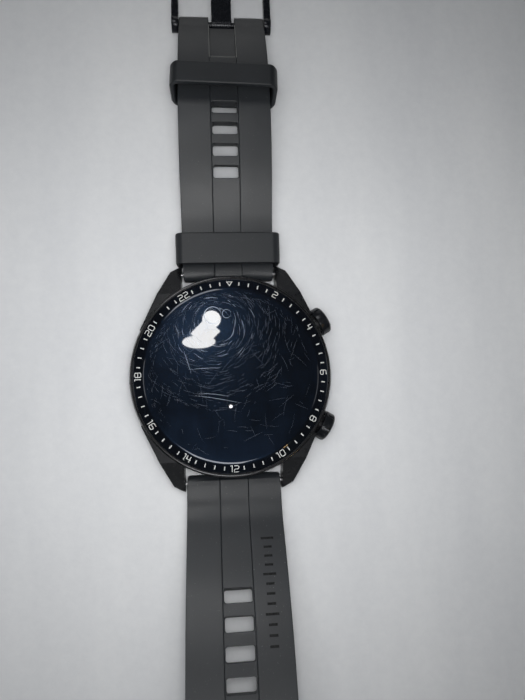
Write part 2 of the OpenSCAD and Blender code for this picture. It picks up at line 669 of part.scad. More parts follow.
module frame_plan() difference() {
    polygon(concat(
        [[frame_out, 0]],
        [for (a = [0:10:90]) [frame_out - 3 + 3 * cos(a), frame_len - 3 + 3 * sin(a)]],
        [for (a = [90:10:180]) [-frame_out + 3 + 3 * cos(a), frame_len - 3 + 3 * sin(a)]],
        [[-frame_out, 0]]
    ));
    polygon([[frame_in, -1], [frame_in, far_bar_y], [-frame_in, far_bar_y], [-frame_in, -1]]);
}

module buckle_frame() color(steel) at_pin() difference() {
    union() {
        translate([0, 0, -frame_drop]) linear_extrude(frame_h) frame_plan();
        for (sx = [-1, 1]) along_x() translate([0, 0, sx * (frame_in + leg_w / 2)])
            cylinder(r = leg_end_r, h = leg_w, center = true, $fn = 48);
    }
    along_x() cylinder(r = pin_bore_r, h = 2 * (frame_in + 1.1), center = true, $fn = 32);
    box([-tongue_w / 2 - 0.3, far_bar_y - 1, frame_h - frame_drop - rest_depth], [tongue_w / 2 + 0.3, frame_len + 1, far]);
}

module buckle_pin() color(silver) at_pin() along_x() {
    cylinder(r = pin_r, h = 2 * frame_in - 0.2, center = true, $fn = 36);
    cylinder(r = pin_bore_r - run_gap, h = 2 * frame_in + 2, center = true, $fn = 32);
}

// The tongue's arm runs from its loop to the rest in the far bar
tongue_z = frame_h - frame_drop - rest_depth + 0.05;
tongue_len = frame_len - 0.5;

module buckle_tongue() color(steel) at_pin() difference() {
    side_bar(tongue_w) union() {
        circle(r = loop_r, $fn = 48);
        polygon([
            [0, loop_r - 0.02], [0, loop_r - tongue_t - 0.3], [far_bar_y - 2, tongue_z - 0.1], [far_bar_y - 0.6, tongue_z],
            [tongue_len, tongue_z], [tongue_len, tongue_z + 0.5], [tongue_len - 1, tongue_z + tongue_t],
            [far_bar_y - 2, tongue_z + tongue_t]
        ]);
    }
    along_x() cylinder(r = pin_r + run_gap, h = far, center = true, $fn = 36);
}

// ---------------------------------------------------------------- nodes

mid_case();
rear_cover();
rear_seal();
sensor_window();
sensor_board();
sensor_leds();
sensor_flex();
charging_contacts();
cover_glass();
scale_ring();
glass_seal();
display_panel();
display_flex();
inner_frame();
main_board();
shield_cans();
board_chips();
board_screws();
battery();
vibration_motor();
speaker();
microphone();
for (side = [-1, 1]) {
    name = side > 0 ? "upper_button" : "lower_button";
    button_tube(side);
    button_cap(side);
    button_stem(side);
    button_clip(side);
    button_seal(side);
    button_spring(side);
    button_switch(side);
}
for (sy = [-1, 1]) {
    name = sy > 0 ? "upper_bar" : "lower_bar";
    bar_barrel(sy);
    bar_fixed_tip(sy);
    bar_release_tip(sy);
    bar_spring(sy);
}
buckle_strap();
tail_strap();
low_keeper();
high_keeper();
buckle_frame();
buckle_pin();
buckle_tongue();
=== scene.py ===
"""Looks of the smartwatch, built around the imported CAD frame.

Lengths are in millimetres until MM turns them into metres. Lights are placed in metres.
"""
import math
import random

import bmesh
import bpy
from mathutils import Matrix, Vector


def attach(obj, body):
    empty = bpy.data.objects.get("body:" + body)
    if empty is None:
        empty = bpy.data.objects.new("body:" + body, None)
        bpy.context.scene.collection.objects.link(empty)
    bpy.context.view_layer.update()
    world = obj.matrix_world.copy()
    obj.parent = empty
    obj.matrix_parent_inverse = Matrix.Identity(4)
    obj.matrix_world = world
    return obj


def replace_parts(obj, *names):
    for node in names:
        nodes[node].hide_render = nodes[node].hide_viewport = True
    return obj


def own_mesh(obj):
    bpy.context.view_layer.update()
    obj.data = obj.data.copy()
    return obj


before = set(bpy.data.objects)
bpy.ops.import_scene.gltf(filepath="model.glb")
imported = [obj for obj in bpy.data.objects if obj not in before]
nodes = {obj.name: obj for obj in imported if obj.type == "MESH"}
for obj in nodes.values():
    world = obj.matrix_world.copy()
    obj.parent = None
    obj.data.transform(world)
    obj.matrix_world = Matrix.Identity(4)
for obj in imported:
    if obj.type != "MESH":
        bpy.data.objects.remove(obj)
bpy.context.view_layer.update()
MM = 0.001
rnd = random.Random(46)
scene = bpy.context.scene


# ------------------------------------------------------------------ materials

class Shader:
    """A Principled material with short calls for its procedural nodes, all in object space."""

    def __init__(self, name, color, rough, metal=0.0, **sockets):
        self.mat = bpy.data.materials.new(name)
        self.mat.use_nodes = True
        self.tree = self.mat.node_tree
        self.bsdf = self.tree.nodes["Principled BSDF"]
        self.set(self.bsdf, "Base Color", (*color, 1))
        self.set(self.bsdf, "Roughness", rough)
        self.set(self.bsdf, "Metallic", metal)
        for key, value in sockets.items():
            self.set(self.bsdf, key.replace("_", " "), value)
        self.coords = self.tree.nodes.new("ShaderNodeTexCoord").outputs["Object"]
        self.last_bump = None

    def set(self, node, socket, value):
        if isinstance(value, bpy.types.NodeSocket):
            self.tree.links.new(value, node.inputs[socket])
        else:
            node.inputs[socket].default_value = value

    def node(self, kind, out=0, settings=(), **inputs):
        """Adds a node and gives one of its outputs. An input goes by its name, or by its place as i0, i1, ..."""
        n = self.tree.nodes.new(kind)
        for key, value in dict(settings).items():
            setattr(n, key, value)
        for key, value in inputs.items():
            self.set(n, int(key[1:]) if key[0] == "i" and key[1:].isdigit() else key.replace("_", " "), value)
        return n.outputs[out]

    def scaled(self, x, y, z):
        return self.node("ShaderNodeMapping", Vector=self.coords, Scale=(x, y, z))

    def noise(self, scale, detail=3.0, rough=0.55, vector=None):
        return self.node("ShaderNodeTexNoise", Vector=vector or self.coords, Scale=scale, Detail=detail,
                         Roughness=rough)

    def ramp(self, fac, low, high, a=0.0, b=1.0):
        """Maps fac from low..high to a..b, with its ends held."""
        return self.node("ShaderNodeMapRange", i0=fac, i1=low, i2=high, i3=a, i4=b)

    def math(self, op, a, b=0.0):
        return self.node("ShaderNodeMath", settings={"operation": op}, i0=a, i1=b)

    def mix(self, fac, a, b):
        n = self.tree.nodes.new("ShaderNodeMix")
        n.data_type = "RGBA"
        for i, value in ((0, fac), (6, a), (7, b)):
            if isinstance(value, tuple) and len(value) == 3:
                value = (*value, 1)
            self.set(n, i, value)
        return n.outputs[2]

    def bump(self, height, distance, strength=1.0):
        n = self.tree.nodes.new("ShaderNodeBump")
        self.set(n, "Height", height)
        n.inputs["Distance"].default_value = distance
        n.inputs["Strength"].default_value = strength
        if self.last_bump:
            self.tree.links.new(self.last_bump, n.inputs["Normal"])
        self.last_bump = n.outputs[0]
        self.tree.links.new(self.last_bump, self.bsdf.inputs["Normal"])

    def rough(self, value):
        self.set(self.bsdf, "Roughness", value)

    def color(self, value):
        self.set(self.bsdf, "Base Color", value)


def black_metal(name, color, rough, spread=0.12):
    """Black coated steel with fine scuffs."""
    m = Shader(name, color, rough, 0.3, Specular_IOR_Level=0.3)
    fine = m.noise(900, 5, 0.6)
    scuff = m.ramp(m.noise(2600, 2, 0.5, m.scaled(1, 0.12, 1)), 0.62, 0.8)
    base = m.ramp(fine, 0.3, 0.7, rough - spread / 2, rough + spread / 2)
    m.rough(m.math("ADD", base, m.math("MULTIPLY", scuff, 0.15)))
    m.color(m.mix(m.math("MULTIPLY", scuff, 0.25), color, tuple(c * 4 + 0.01 for c in color)))
    m.bump(m.noise(7000, 2), 0.004 * MM, 0.6)
    return m.mat


def silicone(name, color, dust=1.0, gloss=0.62):
    """Fine matt rubber with a little dust and slightly shiny rubbed areas."""
    m = Shader(name, color, 0.5, Specular_IOR_Level=gloss)
    cloud = m.noise(130, 4, 0.6)
    grain = m.noise(9000, 3, 0.7)
    specks = m.ramp(m.noise(3400, 1, 0.4), 0.735, 0.78)
    fibres = m.ramp(m.noise(1500, 2, 0.6, m.scaled(1, 6, 1)), 0.70, 0.76)
    lint = m.math("MULTIPLY", m.math("MAXIMUM", specks, m.math("MULTIPLY", fibres, 0.35)), 0.3 * dust)
    base = m.mix(m.ramp(cloud, 0.3, 0.7), tuple(c * 0.85 for c in color), tuple(c * 1.15 for c in color))
    base = m.mix(m.ramp(grain, 0.35, 0.75, 0.0, 0.35), base, tuple(c * 1.5 for c in color))
    m.color(m.mix(lint, base, (0.20, 0.20, 0.19)))
    m.rough(m.ramp(cloud, 0.3, 0.75, 0.41, 0.50))
    m.bump(grain, 0.012 * MM, 0.8)
    m.bump(cloud, 0.05 * MM, 0.5)
    return m.mat


def plain(name, color, rough, metal=0.0, grain=2500, depth=0.004, stretch=(1, 1, 1), **sockets):
    """A simple surface with grain in its colour, gloss and relief."""
    m = Shader(name, color, rough, metal, **sockets)
    n = m.noise(grain, 4, 0.6, m.scaled(*stretch))
    m.color(m.mix(m.ramp(n, 0.3, 0.7), tuple(c * 0.85 for c in color), tuple(min(1, c * 1.12) for c in color)))
    m.rough(m.ramp(n, 0.25, 0.75, rough * 0.8, min(1, rough * 1.2)))
    m.bump(n, depth * MM)
    return m.mat


def glass_material():
    """Dark screen glass: a clear coat over a slightly hazy blue-black layer, with hairline wear."""
    m = Shader("screen_glass", (0.0008, 0.0011, 0.002), 0.26, Specular_IOR_Level=0.2,
               Coat_Weight=1.0, Coat_Roughness=0.022, Coat_IOR=1.45)
    m.set(m.bsdf, "Specular Tint", (0.25, 0.5, 1.0, 1))
    haze = m.noise(160, 3, 0.5)
    smear = m.noise(500, 4, 0.7, m.scaled(1, 0.3, 1))
    m.rough(m.ramp(m.math("ADD", haze, m.math("MULTIPLY", smear, 0.5)), 0.5, 1.0, 0.2, 0.34))
    m.color(m.mix(m.ramp(smear, 0.5, 0.8), (0.0006, 0.0009, 0.0018), (0.0016, 0.0022, 0.004)))
    return m.mat


mats = {
    "case": black_metal("case_black", (0.0065, 0.0072, 0.0085), 0.3),
    "gloss": black_metal("button_black", (0.008, 0.009, 0.011), 0.2, 0.08),
    "buckle": black_metal("buckle_black", (0.006, 0.007, 0.010), 0.26, 0.08),
    "rim": plain("rim_polished", (0.06, 0.06, 0.063), 0.16, 0.9, 4000, 0.002),
    "glass": glass_material(),
    "ring": plain("ring_black", (0.004, 0.004, 0.0045), 0.3, 0.0, 3000, 0.002),
    "marks": plain("marks_grey", (0.52, 0.53, 0.52), 0.5, 0.0, 6000, 0.002),
    "strap": silicone("strap_silicone", (0.0100, 0.0118, 0.0142)),
    "keeper": silicone("keeper_silicone", (0.0088, 0.0104, 0.0125), 0.7, 0.42),
    # painted highlight: pale grey for the lit step and edges of the tongue's recess
    "worn": plain("recess_painted_highlight_silicone", (0.17, 0.175, 0.17), 0.7, 0.0, 3000, 0.01),
    # painted shade for the tail strap's sunk bars
    "bars": plain("sunk_bar_painted_shade", (0.0028, 0.0030, 0.0034), 0.8, 0.0, 3000, 0.01),
    "seal": plain("seal_rubber", (0.02, 0.02, 0.02), 0.7),
    "cover": plain("cover_plastic", (0.012, 0.012, 0.013), 0.45, 0.0, 5000, 0.006),
    "steel": plain("bright_steel", (0.55, 0.55, 0.57), 0.28, 1.0, 1200, 0.003, (1, 8, 1)),
    "gold": plain("gold_plate", (0.83, 0.58, 0.22), 0.25, 1.0),
    "board": plain("board_green", (0.01, 0.06, 0.03), 0.4, 0.0, 1500),
    "flex": plain("flex_copper", (0.35, 0.13, 0.03), 0.4, 0.2),
    "led": plain("led_resin", (0.75, 0.75, 0.7), 0.2),
    "foil": plain("cell_foil", (0.3, 0.31, 0.33), 0.35, 0.6, 800),
    "chip": plain("chip_black", (0.012, 0.012, 0.013), 0.5),
    "panel": plain("panel_black", (0.003, 0.004, 0.007), 0.15),
}


def sensor_material():
    """Tinted sensor window with the faint outlines of its lenses."""
    m = Shader("sensor_glass", (0.006, 0.006, 0.008), 0.12, Coat_Weight=0.6, Coat_Roughness=0.05)
    flat = m.node("ShaderNodeVectorMath", settings={"operation": "MULTIPLY"}, i0=m.coords, i1=(1, 1, 0))
    mask = 0.0
    for x, y, r in ((0, 0, 2.6), (5.2, 0, 1.9), (-5.2, 0, 1.9), (0, 5.2, 1.9), (0, -5.2, 1.9)):
        d = m.node("ShaderNodeVectorMath", 1, {"operation": "DISTANCE"}, i0=flat, i1=(x * MM, y * MM, 0))
        disc = m.ramp(d, (r + 0.06) * MM, r * MM)
        mask = m.math("MAXIMUM", mask, disc)
    d0 = m.node("ShaderNodeVectorMath", 1, {"operation": "DISTANCE"}, i0=flat, i1=(0, 0, 0))
    ring = m.math("MULTIPLY", m.ramp(d0, 8.75 * MM, 8.8 * MM), m.ramp(d0, 9.05 * MM, 9.0 * MM))
    base = m.mix(mask, (0.006, 0.006, 0.008), (0.02, 0.028, 0.022))
    m.color(m.mix(ring, base, (0.12, 0.12, 0.12)))
    m.rough(m.ramp(m.noise(600, 3), 0.3, 0.7, 0.08, 0.16))
    return m.mat


mats["sensor"] = sensor_material()

node_mats = {
    "case": ("mid_case",),
    "gloss": ("upper_button_cap", "lower_button_cap"),
    "buckle": ("buckle_frame", "buckle_tongue", "buckle_pin"),
    "ring": ("scale_ring",),
    "glass": ("cover_glass",),
    "cover": ("rear_cover", "inner_frame"),
    "sensor": ("sensor_window",),
    "seal": ("rear_seal", "glass_seal", "upper_button_seal", "lower_button_seal"),
    "gold": ("charging_contacts",),
    "board": ("sensor_board", "main_board"),
    "flex": ("sensor_flex", "display_flex"),
    "led": ("sensor_leds",),
    "foil": ("battery",),
    "panel": ("display_panel",),
    "chip": ("board_chips", "speaker", "upper_button_switch", "lower_button_switch"),
    "strap": ("buckle_strap", "tail_strap"),
    "keeper": ("low_keeper", "high_keeper"),
}
mat_of = {n: key for key, names in node_mats.items() for n in names}
for name, obj in nodes.items():
    for s in obj.material_slots:
        s.link = "OBJECT"
        s.material = mats[mat_of.get(name, "steel")]


def soften(name, width, angle=32, segments=2):
    """Rounds the sharp edges of a CAD node."""
    o = nodes[name]
    w = o.modifiers.new("weld", "WELD")
    w.merge_threshold = 0.002 * MM
    b = o.modifiers.new("bevel", "BEVEL")
    b.width = width * MM
    b.segments = segments
    b.limit_method = "ANGLE"
    b.angle_limit = math.radians(angle)
    b.harden_normals = True
    b.use_clamp_overlap = True
    n = o.modifiers.new("normals", "WEIGHTED_NORMAL")
    n.keep_sharp = True


# ------------------------------------------------------------------ mesh tools

def make(name, verts, faces, mat, body, slot, smooth=True, sharp=40):
    """A piece from points in millimetres. sharp is the angle, in degrees, over which an edge stays sharp."""
    mesh = bpy.data.meshes.new(name)
    mesh.from_pydata([Vector(v) * MM for v in verts], [], faces)
    mesh.validate()
    mesh.update()
    return finish_mesh(name, mesh, mat, body, slot, smooth, sharp)


def finish_mesh(name, mesh, mat, body, slot, smooth=True, sharp=40):
    o = bpy.data.objects.new(name, mesh)
    scene.collection.objects.link(o)
    mesh.materials.append(mats[mat])
    if smooth:
        mesh.shade_smooth()
        mesh.set_sharp_from_angle(angle=math.radians(sharp))
        n = o.modifiers.new("normals", "WEIGHTED_NORMAL")
        n.keep_sharp = True
    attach(o, body)
    return o


def lathe(name, profile, mat, body, slot, steps=192, sharp=40):
    """Turns a closed (r, z) profile about the Z axis."""
    verts, faces, rings = [], [], []
    for r, z in profile:
        if r < 1e-6:
            rings.append([len(verts)] * steps)
            verts.append((0, 0, z))
        else:
            rings.append(list(range(len(verts), len(verts) + steps)))
            turns = [math.tau * i / steps for i in range(steps)]
            verts += [(r * math.cos(t), r * math.sin(t), z) for t in turns]
    for a, b in zip(rings, rings[1:] + rings[:1]):
        for i in range(steps):
            j = (i + 1) % steps
            f = [a[i], a[j], b[j], b[i]]
            f = [v for k, v in enumerate(f) if v != f[k - 1]]
            if len(f) > 2:
                faces.append(f)
    return make(name, verts, faces, mat, body, slot, sharp=sharp)


# ------------------------------------------------------------------ strap paths, as in the CAD

def turned(a, s, r):
    """Slope a, in degrees, after a distance s on radius r. Radius 0 is straight, and below 0 bends upwards."""
    return a if r == 0 else a - math.degrees(s / r)


def moved(p, a, s, r):
    """The (y, z) point p after the same distance."""
    if r == 0:
        return (p[0] + s * math.cos(math.radians(a)), p[1] + s * math.sin(math.radians(a)))
    b = turned(a, s, r)
    return (p[0] + r * (math.sin(math.radians(a)) - math.sin(math.radians(b))),
            p[1] + r * (math.cos(math.radians(b)) - math.cos(math.radians(a))))


class Path:
    """A strap's middle line, from the spring bar outwards, as pieces of (length, radius)."""

    def __init__(self, pieces, slope):
        self.pieces, self.slope = pieces, slope
        self.length = sum(p[0] for p in pieces)

    def at(self, s):
        """(y, z, slope in radians) at a distance s along the middle."""
        p, a = BAR, self.slope
        for i, (length, r) in enumerate(self.pieces):
            if s <= length or i == len(self.pieces) - 1:
                y, z = moved(p, a, s, r)
                return y, z, math.radians(turned(a, s, r))
            p, a, s = moved(p, a, length, r), turned(a, length, r), s - length


# A spring bar's axis as (y, z)
BAR = (24.5, 3.4)
STRAP_W, STRAP_T = 21.6, 2.3
HALF_T = STRAP_T / 2
# Radius of the strap's thick end round the spring bar, and the length over which it thins
TUBE_R, BLEND = 1.8, 4.0
# Widths at the buckle and near the tail's tip, and where both tapers begin
BUCKLE_W, TAIL_W, TAPER_S = 21.2, 19.6, 46.0
# The two long grooves lie at this distance from the middle
GROOVE_X = 3.25
# Slopes in degrees at the root and where the arch begins, the bend's radius between them, the arch's radius
BUCKLE_ROOT, BUCKLE_RISE, BUCKLE_BEND_R, BUCKLE_ARCH_R = 5, 23, 14, 54
TAIL_ROOT, TAIL_RISE, TAIL_BEND_R, TAIL_ARCH_R = 8, 34, 12, 72
# The pin's distance from the buckle strap's end
PIN_BACK = 1.95
SURFACE_GAP = 0.05


def bend(a, b, r):
    """Length of a bend of radius r from slope a to slope b."""
    return math.radians(b - a) * r


def end_slope(r, top):
    """Slope where the underside of an arch of radius r, whose middle line peaks at top, nears the surface."""
    return -math.degrees(math.acos((r + SURFACE_GAP - top) / (r - HALF_T)))


def arch_path(slope, pieces, r):
    """The path's first pieces, then an arch of radius r down to the surface."""
    p, a = BAR, slope
    for length, radius in pieces:
        p, a = moved(p, a, length, radius), turned(a, length, radius)
    top = p[1] + r * (1 - math.cos(math.radians(a)))
    return Path(pieces + [(bend(end_slope(r, top), a, r), r)], slope)


buckle_path = arch_path(
    BUCKLE_ROOT, [(11.5, 0), (bend(BUCKLE_ROOT, BUCKLE_RISE, BUCKLE_BEND_R), -BUCKLE_BEND_R)], BUCKLE_ARCH_R)
tail_path = arch_path(
    TAIL_ROOT, [(4, 0), (bend(TAIL_ROOT, TAIL_RISE, TAIL_BEND_R), -TAIL_BEND_R), (10.5, 0)], TAIL_ARCH_R)
PIN_S = buckle_path.length - PIN_BACK


# ------------------------------------------------------------------ strap bands

EDGE = 0.16
# Where a band begins, behind the spring bar's axis, and where its first cut lies
ROOT_S, FIRST_CUT = -TUBE_R + 0.02, -1.6
SLOT_W, SLOT_L, SLOT_CORNER = 5.9, 2.8, 0.5
# The recess for the tongue: its start and the end of its floor before the pin, and its depth
RECESS_FROM, RECESS_TO, RECESS_DEPTH = 14.5, 1.9, 0.9
TIP_L = 12.6


def rounded(cx, cy, w, h, r, n=5):
    """A rectangle of w by h with corners of radius r, as points."""
    pts = []
    for q, (sx, sy) in enumerate(((1, 1), (-1, 1), (-1, -1), (1, -1))):
        for i in range(n + 1):
            a = math.radians(90 * q + 90 * i / n)
            pts.append((cx + sx * (w / 2 - r) + r * math.cos(a), cy + sy * (h / 2 - r) + r * math.sin(a)))
    return pts


def plate(loops, step, s_range, high=HALF_T):
    """A plate of (x, s) loops, outer one first, with rounded edges, cut every step along s."""
    low = -HALF_T
    bm = bmesh.new()
    for loop in loops:
        vs = [bm.verts.new((x, s, low)) for x, s in loop]
        for a, b in zip(vs, vs[1:] + vs[:1]):
            bm.edges.new((a, b))
    bmesh.ops.triangle_fill(bm, edges=bm.edges[:], use_beauty=True, use_dissolve=False)
    bmesh.ops.recalc_face_normals(bm, faces=bm.faces[:])
    made = bmesh.ops.extrude_face_region(bm, geom=bm.faces[:])
    top = [v for v in made["geom"] if isinstance(v, bmesh.types.BMVert)]
    bmesh.ops.translate(bm, verts=top, vec=(0, 0, high - low))
    bmesh.ops.recalc_face_normals(bm, faces=bm.faces[:])
    rim = [e for e in bm.edges if len(e.link_faces) == 2 and e.calc_face_angle(0) > 1.2
           and abs(e.verts[0].co.z - e.verts[1].co.z) < 1e-6]
    bmesh.ops.bevel(bm, geom=rim, offset=EDGE, offset_type="OFFSET", segments=3, profile=0.5,
                    affect="EDGES", clamp_overlap=False)
    s = s_range[0]
    while s < s_range[1]:
        whole = bm.verts[:] + bm.edges[:] + bm.faces[:]
        bmesh.ops.bisect_plane(bm, geom=whole, dist=1e-5, plane_co=(0, s, 0), plane_no=(0, 1, 0))
        s += step
    return bm


def bent(bm, path, side, widths, heights):
    """Puts a plate's points on a strap path. side is 1 for +Y and -1 for -Y."""
    for v in bm.verts:
        x, s, n = v.co
        x, n = widths(x, s), heights(n, s)
        if s < 0:
            y, z, a = path.at(0)
            y, z = y + s * math.cos(a), z + s * math.sin(a)
        else:
            y, z, a = path.at(s)
        v.co = Vector((x, side * (y - n * math.sin(a)), z + n * math.cos(a))) * MM
    if side < 0:
        bmesh.ops.reverse_faces(bm, faces=bm.faces[:])
    mesh = bpy.data.meshes.new("strap")
    bm.to_mesh(mesh)
    bm.free()
    return mesh


def swollen(n, s):
    """Height over the middle, thicker round the spring bar and round at its end."""
    if s < 0:
        return n / HALF_T * math.sqrt(max(0.0, TUBE_R ** 2 - s * s))
    return n * (1 + (TUBE_R / HALF_T - 1) * max(0.0, 1 - s / BLEND))


def taper(end_w, to):
    """Gives the function that narrows a strap to end_w at the distance to. The middle band keeps its width."""
    def widths(x, s):
        t = min(1.0, max(0.0, (s - TAPER_S) / (to - TAPER_S)))
        half = STRAP_W / 2 + (end_w / 2 - STRAP_W / 2) * t
        if s < 3:
            half -= 0.1 * (1 - s / 3)
        if abs(x) <= GROOVE_X:
            return x
        return math.copysign(GROOVE_X + (abs(x) - GROOVE_X) * (half - GROOVE_X) / (STRAP_W / 2 - GROOVE_X), x)
    return widths


def join_bands(name, meshes, mat, body, slot):
    """One piece of a strap's bands."""
    bm = bmesh.new()
    for m in meshes:
        bm.from_mesh(m)
    mesh = bpy.data.meshes.new(name)
    bm.to_mesh(mesh)
    bm.free()
    return finish_mesh(name, mesh, mat, body, slot, sharp=38)


def root_corner(x0, x1, sx):
    """A side band's outline at the spring bar, from the groove to its cut outer corner."""
    return [(x0, ROOT_S), (x1 - sx * 0.5, ROOT_S), (x1 - sx * 0.15, -TUBE_R + 0.17), (x1, -TUBE_R + 0.6)]


def outer_band(x0, x1, s_end, corner):
    """Outline of a side band. It ends in a round corner on its outer side."""
    sx = 1 if x1 > x0 else -1
    pts = root_corner(x0, x1, sx)
    for a in range(0, 91, 15):
        c, t = math.cos(math.radians(a)), math.sin(math.radians(a))
        pts.append((x1 - sx * corner * (1 - c), s_end - corner * (1 - t)))
    pts += [(x0, s_end)]
    return pts if sx > 0 else pts[::-1]


def middle_band(s0, s1):
    """Outline of the band between the grooves."""
    return [(-GROOVE_X, s0), (GROOVE_X, s0), (GROOVE_X, s1), (-GROOVE_X, s1)]


def slot_row(first, pitch, count):
    return [rounded(0, first + pitch * i, SLOT_W, SLOT_L, SLOT_CORNER) for i in range(count)]


def pin_bulge(n, s):
    """Height over the middle of the side bands, which thicken round the pin too."""
    return swollen(n, s) * (1 + 0.36 * math.exp(-((s - PIN_S) / 1.25) ** 2))


def buckle_bands():
    """The buckle strap: two side bands, the slotted middle, and the thin floor under the tongue."""
    widths, step = taper(BUCKLE_W, PIN_S), 1.0
    out = []
    for sx in (-1, 1):
        outline = outer_band(sx * GROOVE_X, sx * STRAP_W / 2, buckle_path.length, 0.7)
        bm = plate([outline], step, (FIRST_CUT, buckle_path.length))
        out.append(bent(bm, buckle_path, 1, widths, pin_bulge))
    s1, s2 = PIN_S - RECESS_FROM, PIN_S - RECESS_TO
    full = plate([middle_band(ROOT_S, s1)] + slot_row(24.05, 4.9, 4), step, (FIRST_CUT, s1))
    thin = plate([middle_band(s1 - 0.1, s2)], step, (s1, s2), HALF_T - RECESS_DEPTH)
    return out + [bent(bm, buckle_path, 1, widths, swollen) for bm in (full, thin)]


def tip_s(x):
    """Where the tail ends at x, in its round tip."""
    return tail_path.length - TIP_L * (1 - math.sqrt(max(0.0, 1 - (x / (STRAP_W / 2)) ** 2)))


def tail_bands():
    """The tail strap: two side bands and the slotted middle."""
    widths, step = taper(TAIL_W, tail_path.length), 1.2
    out = []
    for sx in (-1, 1):
        x0, x1 = sx * GROOVE_X, sx * STRAP_W / 2
        pts = root_corner(x0, x1, sx)
        for i in range(25):
            x = x1 * math.cos(math.radians(90 * i / 24))
            if abs(x) > GROOVE_X + 0.2:
                pts.append((x, tip_s(x)))
        pts.append((x0, tip_s(x0)))
        bm = plate([pts if sx > 0 else pts[::-1]], step, (FIRST_CUT, tail_path.length))
        out.append(bent(bm, tail_path, -1, widths, swollen))
    reach, end = int(GROOVE_X * 10), tip_s(GROOVE_X)
    tip = [(x / 10, tip_s(x / 10)) for x in range(reach, -reach - 1, -4)]
    outline = [(-GROOVE_X, ROOT_S), (GROOVE_X, ROOT_S), (GROOVE_X, end)] + tip[1:-1] + [(-GROOVE_X, end)]
    bm = plate([outline] + slot_row(24.8, 5.25, 15), step, (FIRST_CUT, tail_path.length))
    out.append(bent(bm, tail_path, -1, widths, swollen))
    return out


# A skin reaches this far over the strap and into it
SKIN_OVER, SKIN_UNDER = 0.012, 0.03


def strip(x0, x1, s0, s1, n0, n1, path=buckle_path, side=1):
    """A thin skin on a strap, from height n0 at s0 to n1 at s1. side is 1 for +Y and -1 for -Y."""
    verts, faces = [], []
    steps = max(1, round((s1 - s0) / 0.8))
    for i in range(steps + 1):
        s = s0 + (s1 - s0) * i / steps
        y, z, a = path.at(s)
        face = n0 + (n1 - n0) * i / steps
        for x in (x0, x1)[::side]:
            for n in (face + SKIN_OVER, face - SKIN_UNDER):
                verts.append((x, side * (y - n * math.sin(a)), z + n * math.cos(a)))
    for i in range(steps):
        b = 4 * i
        faces += [(b, b + 4, b + 6, b + 2), (b + 1, b + 3, b + 7, b + 5),
                  (b, b + 1, b + 5, b + 4), (b + 2, b + 6, b + 7, b + 3)]
    faces += [(0, 2, 3, 1), (4 * steps, 4 * steps + 1, 4 * steps + 3, 4 * steps + 2)]
    return verts, faces


def joined(parts):
    """The points and faces of several strips as one."""
    verts, faces = [], []
    for part_verts, part_faces in parts:
        b = len(verts)
        verts += part_verts
        faces += [tuple(b + i for i in f) for f in part_faces]
    return verts, faces


def recess_painted_highlight():
    """The pale step and side edges of the tongue's recess: painted highlight where lit faces would be."""
    s1, s2 = PIN_S - RECESS_FROM, PIN_S - 2.1
    parts = [strip(-2.95, 2.95, s1 - 0.02, s1 + 1.35, HALF_T - 0.02, HALF_T - 0.88),
             strip(-3.32, -3.16, s1, s2, HALF_T, HALF_T), strip(3.16, 3.32, s1, s2, HALF_T, HALF_T)]
    # Pale grey skins on the step and along both side edges: painted highlight
    make("recess_painted_highlight", *joined(parts), "worn", "buckle_strap", "silicone", smooth=False)


def sunk_bars_painted_shade():
    """The CAD tail strap's row of 12 plain sunk bars, as dark skins of painted shade over the strap's face. Each
    fourth bar is longer.
    """
    middle, first, pitch, half_t = 6.8, 13.5, 1.9, 0.25
    parts = []
    for i in range(12):
        half = 1.4 if i % 4 == 0 else 0.9
        s = first + pitch * i
        parts.append(strip(middle - half, middle + half, s - half_t, s + half_t, HALF_T, HALF_T, tail_path, -1))
    make("sunk_bars_painted_shade", *joined(parts), "bars", "tail_strap", "silicone", smooth=False)


buckle_strap = join_bands("strap_buckle_side", buckle_bands(), "strap", "buckle_strap", "silicone")
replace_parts(buckle_strap, "buckle_strap")
recess_painted_highlight()
tail_strap = join_bands("strap_tail_side", tail_bands(), "strap", "tail_strap", "silicone")
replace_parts(tail_strap, "tail_strap")
sunk_bars_painted_shade()


# ------------------------------------------------------------------ keepers

def keeper(name, s, length, room, bulge=0.1, lean=0.0, yaw=0.0):
    """A loop of round-edged rubber round the buckle strap, room higher than it. lean and yaw are in radians."""
    gap, wall, corner, edge = 0.2, 1.1, 1.25, 0.34
    under = gap + (TUBE_R - HALF_T) * max(0.0, 1 - (s - length / 2) / BLEND)
    in_w, in_h = STRAP_W + 2 * gap, STRAP_T + gap + under + room
    mid = rounded(0, 0, in_w + wall, in_h + wall, corner, 8)
    section = rounded(0, 0, wall, length, edge, 4)
    y0, z0, a = buckle_path.at(s)
    verts, faces = [], []
    count = len(mid)
    for i, (x, h) in enumerate(mid):
        p, q = mid[i - 1], mid[(i + 1) % count]
        t = Vector((q[0] - p[0], q[1] - p[1])).normalized()
        nx, nh = t.y, -t.x
        for u, v in section:
            px, ph = x + nx * u, h + nh * u + in_h / 2 - HALF_T - under
            swell = 0
            if abs(px) > in_w / 2 - 0.5:
                swell = bulge * math.sin(math.pi * min(1, max(0, (ph + HALF_T) / in_h)))
            px += math.copysign(swell, px)
            y, z = v, ph
            y, z = y * math.cos(lean) - z * math.sin(lean), y * math.sin(lean) + z * math.cos(lean)
            px, y = px * math.cos(yaw) - y * math.sin(yaw), px * math.sin(yaw) + y * math.cos(yaw)
            y, z = y * math.cos(a) - z * math.sin(a), y * math.sin(a) + z * math.cos(a)
            verts.append((px, y0 + y, z0 + z))
    k = len(section)
    for i in range(count):
        here, there = i * k, (i + 1) % count * k
        for j in range(k):
            faces.append([here + j, here + (j + 1) % k, there + (j + 1) % k, there + j])
    o = make(name + "_loop", verts, faces, "keeper", name, "silicone", sharp=60)
    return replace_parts(o, name)


